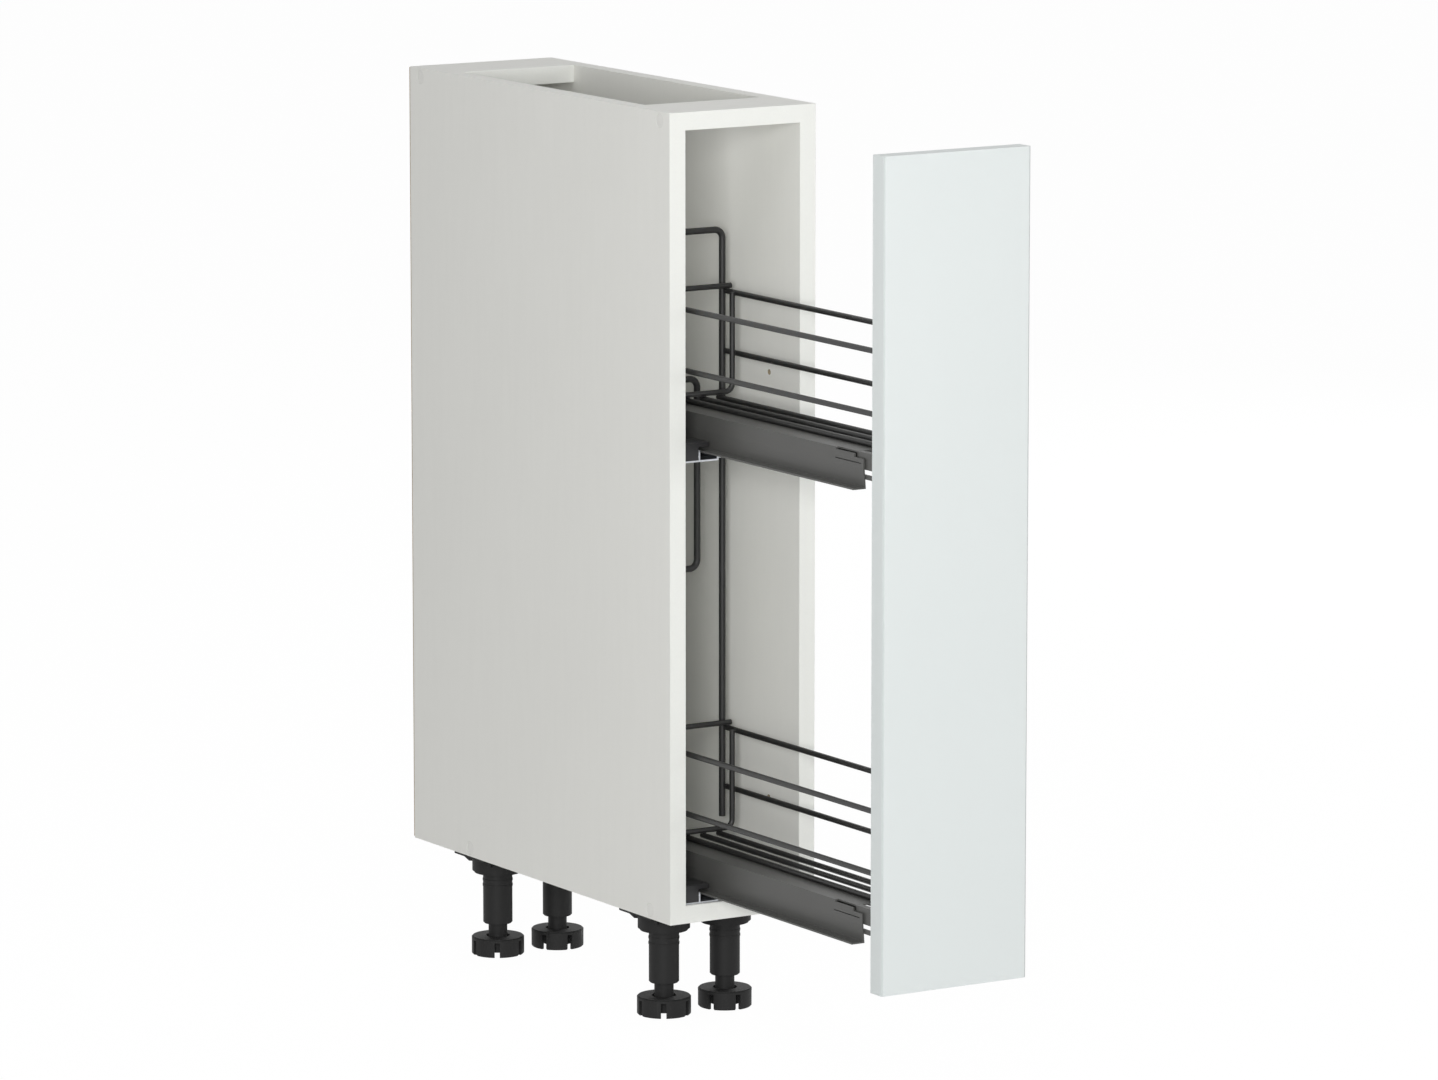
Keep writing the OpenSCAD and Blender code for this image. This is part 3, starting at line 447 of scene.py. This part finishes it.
def pan_head(radius, rise, shank, length):
    """Outline of a pan-head screw, tip to crown, with its crown at height 0."""
    tip = 0.003
    turns = [math.pi / 2 * i / 8 for i in range(9)]
    dome = [(-rise + rise * math.sin(turn) ** 0.8, radius * math.cos(turn)) for turn in turns]
    return [(-length, 0.0001), (-length + tip, shank), (-rise, shank)] + dome


zinc = Finish("zinc_plate", Metallic=1.0)
spangle = zinc.grain(260, detail=4)
drawn = zinc.grain(900, detail=3, stretch=(1, 18, 1), seed=2.0)
zinc.set(Base_Color=zinc.blend(spangle, srgb(176, 179, 183), srgb(214, 217, 221)),
         Roughness=0.24 + drawn * 0.2)
zinc.relief(drawn, 0.00002)


def outer_side(low, high):
    return 1 if low.x + high.x > 0 else -1


carcass_blank = turned("carcass_screw", [
    (-0.0500, 0.0001), (-0.0470, 0.0021), (-0.0148, 0.0021), (-0.0146, 0.0034), (-0.0041, 0.0034),
    (-0.0040, 0.0048), (-0.0004, 0.0050), (0.0, 0.0047), (0.0, 0.0001)],
    thread=(-0.047, -0.016, 0.003, 0.0004))
fixings("carcass_screws", zinc, carcass_blank, 0, outer_side, recess=0.006, depth=0.004)

cap_plastic = Finish("cap_plastic", Roughness=0.3)
cap_cells = cap_plastic.grain(1200, detail=2)
cap_plastic.set(Base_Color=cap_plastic.blend(cap_cells, srgb(228, 228, 223), srgb(236, 236, 231)))
cap_plastic.relief(cap_cells, 0.00002)
cap_blank = turned("cap", [
    (-0.0012, 0.0060), (-0.0003, 0.00622), (-0.00008, 0.0060), (-0.00022, 0.0052), (-0.00022, 0.0040),
    (0.0, 0.0030), (0.0, 0.0001)], around=40)
fixings("screw_caps", cap_plastic, cap_blank, 0, outer_side)

nail_blank = turned("nail", [
    (-0.0160, 0.0001), (-0.0145, 0.0008), (-0.0006, 0.0008), (-0.0005, 0.0019), (-0.0001, 0.0020),
    (0.0, 0.0018), (0.0, 0.0001)], around=20)
fixings("back_nails", zinc, nail_blank, 1, lambda low, high: 1)

beech = Finish("beech_dowel", Roughness=0.7)
fibres = beech.grain(300, detail=4, stretch=(12, 1, 1))
beech.set(Base_Color=beech.blend(fibres, srgb(196, 158, 112), srgb(224, 190, 146)))
beech.relief(fibres, 0.0002)
dress(eased_copy("wood_dowels", 0.0008, least=50), "wood_dowels", beech)


# Feet: black moulded plastic. A ribbed socket is screwed under the bottom and grips a tube. A plain stem
# slides out of the tube and carries a disc that turns, a cup on its rim with notches for a wrench.
foot_plastic = Finish("foot_plastic", Specular_IOR_Level=0.22)
skin = foot_plastic.grain(2200, detail=2)
flow = foot_plastic.grain(40, detail=3, stretch=(1, 1, 4))
foot_plastic.set(Base_Color=foot_plastic.blend(flow, srgb(30, 30, 30), srgb(37, 37, 37)),
                 Roughness=0.5 + skin * 0.2)
foot_plastic.relief(skin, 0.00006)
dress(eased_copy("leg_sockets", 0.0006, least=40), "leg_sockets", foot_plastic)
dress(eased_copy("leg_tubes", 0.00035, least=40), "leg_tubes", foot_plastic)
socket_blank = turned("socket_screw", pan_head(0.0035, 0.0020, 0.0015, 0.0200),
                      thread=(-0.017, -0.004, 0.0018, 0.0005), around=20)
fixings("socket_screws", zinc, socket_blank, 2, lambda low, high: -1, recess=0.0046, depth=0.0022)

for corner in ("fl", "fr", "rl", "rr"):
    dress(eased_copy("foot_disc_" + corner, 0.00035, least=40), "foot_disc_" + corner, foot_plastic)
    dress(eased_copy("foot_stem_" + corner, 0.0005, least=40), "foot_stem_" + corner, foot_plastic)


# Fixed part of each runner: a folded zinc-plated bracket screwed to the left side, the outer slide
# member riveted to its lip, and a black guide block at the front that keeps the channel down.
guide_plastic = Finish("guide_plastic", Specular_IOR_Level=0.5)
guide_skin = guide_plastic.grain(1600, detail=2)
guide_plastic.set(Base_Color=guide_plastic.blend(guide_skin, srgb(32, 32, 33), srgb(42, 42, 43)),
                  Roughness=0.4 + guide_skin * 0.15)
guide_plastic.relief(guide_skin, 0.00004)
for level in ("lower", "upper"):
    dress(eased_copy("runner_bracket_" + level, 0.0004), "runner_bracket_" + level, zinc)
    dress(eased_copy("outer_member_" + level, 0.0003), "outer_member_" + level, zinc)
    dress(eased_copy("guide_block_" + level, 0.0003), "guide_block_" + level, guide_plastic)
dress(eased_copy("end_buffers", 0.0004), "end_buffers", guide_plastic)

runner_blank = turned("runner_screw", pan_head(0.0042, 0.0022, 0.0019, 0.0167),
                      thread=(-0.0137, -0.004, 0.0018, 0.0005), around=24)
fixings("runner_screws", zinc, runner_blank, 0, lambda low, high: 1, recess=0.0056, depth=0.0024)


def rivet(node):
    """A domed rivet as long as the first of the node's solids."""
    low, high = lumps(node)[0]
    length = high.x - low.x
    return turned(node + "_blank", [
        (-length, 0.0001), (-length, 0.0020), (-0.0012, 0.0020), (-0.0012, 0.0034), (-0.0008, 0.0035),
        (-0.0003, 0.0027), (0.0, 0.0012), (0.0, 0.0001)])


fixings("runner_rivets", zinc, rivet("runner_rivets"), 0, lambda low, high: -1)


# Slide members, cages and balls: roll-formed steel with a film of grease, thin stamped cages and
# polished balls. They run inside one another and each keeps its own body.
slide_steel = Finish("greased_slide_steel", Metallic=1.0)
rolled = slide_steel.grain(1100, detail=3, stretch=(1, 30, 1))
grease = slide_steel.grain(35, detail=3, seed=4.0)
slide_steel.set(Base_Color=slide_steel.blend(grease, srgb(178, 180, 182), srgb(206, 208, 211)),
                Roughness=0.2 + rolled * 0.2)
slide_steel.relief(rolled, 0.000015)
ball_steel = Finish("ball_steel", Metallic=1.0)
ball_haze = ball_steel.grain(1500, detail=2)
ball_steel.set(Base_Color=ball_steel.blend(ball_haze, srgb(204, 206, 209), srgb(218, 220, 223)),
               Roughness=0.08 + ball_haze * 0.08)
for level in ("lower", "upper"):
    for node in ("middle_member_", "inner_member_"):
        dress(eased_copy(node + level, 0.0003), node + level, slide_steel)
    for node, skin_of in (("long_cage_", slide_steel), ("short_cage_", slide_steel),
                          ("long_balls_", ball_steel), ("short_balls_", ball_steel)):
        frame["nodes"][node + level].data.materials.clear()
        frame["nodes"][node + level].data.materials.append(skin_of.material)


# Channels and front brackets: folded sheet steel in a satin anthracite powder coat. The channel's top
# is cut back at the front, where a slit frees the tab that grips the bracket's arm.
powder = Finish("anthracite_powder_coat", Specular_IOR_Level=0.6)
peel = powder.grain(1400, detail=2)
shade = powder.grain(12, detail=2)
powder.set(Base_Color=powder.blend(shade, srgb(79, 79, 77), srgb(86, 86, 84)), Roughness=0.4 + peel * 0.12)
powder.relief(peel, 0.00003)
for level in ("lower", "upper"):
    dress(eased_copy("channel_" + level, 0.0005, least=20, fold=3), "channel_" + level, powder)
    dress(eased_copy("front_bracket_" + level, 0.0005), "front_bracket_" + level, powder)
fixings("channel_rivets", zinc, rivet("channel_rivets"), 0, lambda low, high: 1)


# Baskets and rear frame: bright-drawn wire, spot-welded and powder coated near black. Each wire is
# swept along its own path with a rounded bend, and its cut ends are slightly chamfered.
wire_coat = Finish("black_wire_coat", Specular_IOR_Level=0.5, Coat_Weight=0.12, Coat_Roughness=0.25)
wire_peel = wire_coat.grain(1800, detail=2)
wire_shade = wire_coat.grain(25, detail=2, seed=1.0)
wire_coat.set(Base_Color=wire_coat.blend(wire_shade, srgb(27, 27, 27), srgb(35, 35, 35)),
              Roughness=0.36 + wire_peel * 0.14)
wire_coat.relief(wire_peel, 0.00004)

wire_r = 0.0025
wire_bend = 0.007
wire_end = 0.0004
wire_sweep, step, gate = node_group("swept_wire", {
    "Radius": ("Float", wire_r), "Bend": ("Float", wire_bend), "Finish": ("Material", None)})
path = step.add("GeometryNodeMeshToCurve", {}, {"Mesh": gate["Geometry"]})
rounded = step.add("GeometryNodeFilletCurve", {"mode": "POLY"}, {
    "Curve": path, "Count": 10, "Radius": gate["Bend"]})
narrowed = step.add("GeometryNodeSetCurveRadius", {}, {"Curve": rounded, "Radius": 1.0})
chamfered = step.add("GeometryNodeSetCurveRadius", {}, {
    "Curve": narrowed, "Selection": step.add("GeometryNodeCurveEndpointSelection"), "Radius": 0.84})
ring = step.add("GeometryNodeCurvePrimitiveCircle", {}, {"Resolution": 22, "Radius": gate["Radius"]})
finished(step, step.add("GeometryNodeCurveToMesh", {}, {
    "Curve": chamfered, "Profile Curve": ring, "Fill Caps": True}), gate)

# Small beads of weld metal where two wires cross
weld_r = 0.0017
weld_drop, step, gate = node_group("weld_nuggets", {
    "Radius": ("Float", weld_r), "Finish": ("Material", None)})
drop = step.add("GeometryNodeMeshIcoSphere", {}, {"Radius": gate["Radius"], "Subdivisions": 3})
finished(step, step.add("GeometryNodeInstanceOnPoints", {}, {
    "Points": gate["Geometry"], "Instance": drop}), gate)


def wires(node, paths, radius, bend):
    """Several wires in one mesh: each path's ends get a point for the chamfer."""
    points, edges = [], []
    for path in paths:
        line = [Vector(p) for p in path]
        head = line[0] + (line[1] - line[0]).normalized() * wire_end
        tail = line[-1] + (line[-2] - line[-1]).normalized() * wire_end
        line = [line[0], head] + line[1:-1] + [tail, line[-1]]
        start = len(points)
        points += line
        edges += [(start + i, start + i + 1) for i in range(len(line) - 1)]
    made = formed(node + "_swept", points, edges, wire_sweep, Radius=radius, Bend=bend,
                  Finish=wire_coat.material)
    return dress(made, node, wire_coat)


floor_pitch = 0.017
hoop_inset = 0.004
hoop_above_rail = 0.001
cross_behind_hoop = 0.006
cross_over_rail = 0.0031
frame_r = 0.003
frame_y = (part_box("rear_frame")[0].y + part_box("rear_frame")[1].y) / 2
for level in ("lower", "upper"):
    low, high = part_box("basket_rails_" + level)
    rail_x = (low.x + wire_r, high.x - wire_r)
    rail_z = (low.z + wire_r, high.z - wire_r)
    wires("basket_rails_" + level, [[(x, low.y, z), (x, high.y, z)] for x in rail_x for z in rail_z],
          wire_r, 0.0)
    floor_low, floor_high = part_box("basket_floor_" + level)
    floor_z = floor_low.z + wire_r
    floor_x = [floor_low.x + wire_r + i * floor_pitch for i in range(3)]
    wires("basket_floor_" + level, [
        [(x, floor_low.y, floor_z), (x, floor_high.y, floor_z)] for x in floor_x], wire_r, 0.0)
    hoop_x = (rail_x[0] + 2 * wire_r, rail_x[1] - 2 * wire_r)
    hoop_y = (floor_low.y + hoop_inset, floor_high.y - hoop_inset)
    hoop_top = rail_z[1] + hoop_above_rail
    cross_x = (rail_x[0] - cross_over_rail, rail_x[1] + cross_over_rail)
    cross_y = (hoop_y[0] - cross_behind_hoop, high.y - wire_r)
    bed, over = floor_z + 2 * wire_r, rail_z[1] + 2 * wire_r
    hoops = [[(hoop_x[0], y, hoop_top), (hoop_x[0], y, bed), (hoop_x[1], y, bed), (hoop_x[1], y, hoop_top)]
             for y in hoop_y]
    crosses = [[(cross_x[0], y, over), (cross_x[1], y, over)] for y in cross_y]
    wires("basket_hoops_" + level, hoops + crosses, wire_r, wire_bend)
    nuggets = [((a + b) / 2, y, z) for y in hoop_y for a, b in zip(rail_x, hoop_x) for z in rail_z]
    nuggets += [(x, y, floor_z + wire_r) for y in hoop_y for x in floor_x]
    nuggets += [(x, y, rail_z[1] + wire_r) for y in cross_y for x in rail_x]
    nuggets += [(x, frame_y - frame_r, z) for x in rail_x for z in rail_z]
    beads = formed("weld_nuggets_" + level, nuggets, [], weld_drop, Radius=weld_r,
                   Finish=wire_coat.material)
    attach(beads, "pull_out")

# The frame's left leg steps aside round the fixed upper runner
step_aside = 0.0638
step_below, step_above = 0.114, 0.057
frame_bend = 0.008
low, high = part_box("rear_frame")
leg_x = (low.x + frame_r, high.x - frame_r)
bracket_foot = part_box("runner_bracket_upper")[0].z
step_x = leg_x[0] + step_aside
step_low, step_high = bracket_foot - step_below, bracket_foot + step_above
bar_z = high.z - frame_r
wires("rear_frame", [[
    (leg_x[0], frame_y, low.z), (leg_x[0], frame_y, step_low), (step_x, frame_y, step_low),
    (step_x, frame_y, step_high), (leg_x[0], frame_y, step_high), (leg_x[0], frame_y, bar_z),
    (leg_x[1], frame_y, bar_z), (leg_x[1], frame_y, low.z)]], frame_r, frame_bend)


# Front panel: 18 mm board in a white satin lacquer, a little cooler than the carcass, with its edges
# rounded over. Its upright arrises carry painted shade, a greyer base colour that keeps the lamps from
# drawing a bright line along them. Soft clear bumpers behind the panel keep it off the carcass edge.
lacquer = Finish("white_lacquer", Specular_IOR_Level=0.45)
sprayed = lacquer.grain(650, detail=2)
wide = lacquer.grain(3, detail=2)
facing = lacquer.nodes.add("ShaderNodeTexCoord", out="Normal")
across, along = (
    lacquer.nodes.add("ShaderNodeSeparateXYZ", {}, {"Vector": facing}, out=axis) for axis in (0, 1))
# Mask of the painted shade: 1 on an upright arris, which looks halfway between x and y, and 0 on the faces
halfway = across * along * 2
arris = halfway * halfway
lacquered = lacquer.blend(wide, srgb(224, 230, 229), srgb(228, 233, 232))
# Painted shade: where the mask is 1, the upright arrises blend to a greyer white that darkens the lamp's
# bright line there
lacquer.set(Base_Color=lacquer.blend(arris, lacquered, srgb(200, 206, 205)),
            Roughness=0.42 + sprayed * 0.08)
lacquer.relief(sprayed, 0.00002)
dress(eased_copy("front_panel", 0.0018, steps=4), "front_panel", lacquer)

bumper_gel = Finish("bumper_gel", Roughness=0.25)
gel_cells = bumper_gel.grain(500, detail=2)
bumper_gel.set(Base_Color=bumper_gel.blend(gel_cells, srgb(206, 210, 210), srgb(222, 226, 226)))
dress(eased_copy("front_bumpers", 0.0007, steps=3), "front_bumpers", bumper_gel)

plate_blank = turned("plate_screw", pan_head(0.0040, 0.0020, 0.0014, 0.0164),
                     thread=(-0.0134, -0.005, 0.0016, 0.0005), around=24)
fixings("front_bracket_screws", zinc, plate_blank, 1, lambda low, high: 1, recess=0.0054, depth=0.0022)


# Floor, background and light. The floor is plain and pale and runs out into a white background. A wide
# soft lamp stands at the viewer's side, and weaker ones at the right, overhead and behind.
floor_reach = 30
floor_mesh = bpy.data.meshes.new("floor")
floor_corners = [(x * floor_reach, y * floor_reach, 0) for x, y in ((-1, -1), (1, -1), (1, 1), (-1, 1))]
floor_mesh.from_pydata(floor_corners, [], [(0, 1, 2, 3)])
floor = bpy.data.objects.new("floor", floor_mesh)
bpy.context.collection.objects.link(floor)


def looked_at(work):
    """1 for a ray from the eye, a mirror or glass, and 0 for one that carries light."""
    rays = work.add("ShaderNodeLightPath").socket.node.outputs
    return sum((Tone(work.tree, rays[key]) for key in ("Is Glossy Ray", "Is Transmission Ray")),
               Tone(work.tree, rays["Is Camera Ray"]))


backdrop_white = 1.02
pale_floor = bpy.data.materials.new("pale_floor")
pale_floor.use_nodes = True
paint = Workings(pale_floor.node_tree)
matte = paint.add("ShaderNodeBsdfDiffuse", {}, {"Color": (0.82, 0.82, 0.82, 1.0)})
white = paint.add("ShaderNodeEmission", {}, {"Color": (1.0, 1.0, 1.0, 1.0), "Strength": backdrop_white})
paint.add("ShaderNodeOutputMaterial", {}, {"Surface": paint.add("ShaderNodeMixShader", {}, {
    0: looked_at(paint) * 0.96, 1: matte, 2: white})})
floor_mesh.materials.append(pale_floor)

studio = bpy.data.worlds.new("studio")
bpy.context.scene.world = studio
studio.use_nodes = True
air = Workings(studio.node_tree)
soft = air.add("ShaderNodeBackground", {}, {"Color": (1.0, 1.0, 1.0, 1.0), "Strength": 0.17})
bright = air.add("ShaderNodeBackground", {}, {"Color": (1.0, 1.0, 1.0, 1.0), "Strength": backdrop_white})
air.add("ShaderNodeOutputWorld", {}, {"Surface": air.add("ShaderNodeMixShader", {}, {
    0: looked_at(air), 1: soft, 2: bright})})


lamp_aim = Vector((0.0, 0.0, 0.42))


def lamp(name, place, power, size):
    """A square soft lamp that looks at the middle of the cabinet."""
    light = bpy.data.lights.new(name, "AREA")
    light.energy = power
    light.shape = "SQUARE"
    light.size = size
    holder = bpy.data.objects.new(name, light)
    holder.location = place
    holder.rotation_euler = (lamp_aim - Vector(place)).to_track_quat("-Z", "Y").to_euler()
    bpy.context.collection.objects.link(holder)


lamp("key_lamp", (-2.52, -3.29, 1.20), 99.0, 1.3)
lamp("fill_lamp", (2.40, -3.20, 1.20), 18.0, 1.3)
lamp("high_lamp", (-0.69, -1.06, 3.14), 23.0, 1.8)
lamp("back_lamp", (3.10, 1.90, 1.45), 36.0, 1.5)
bpy.context.scene.view_settings.view_transform = "Standard"
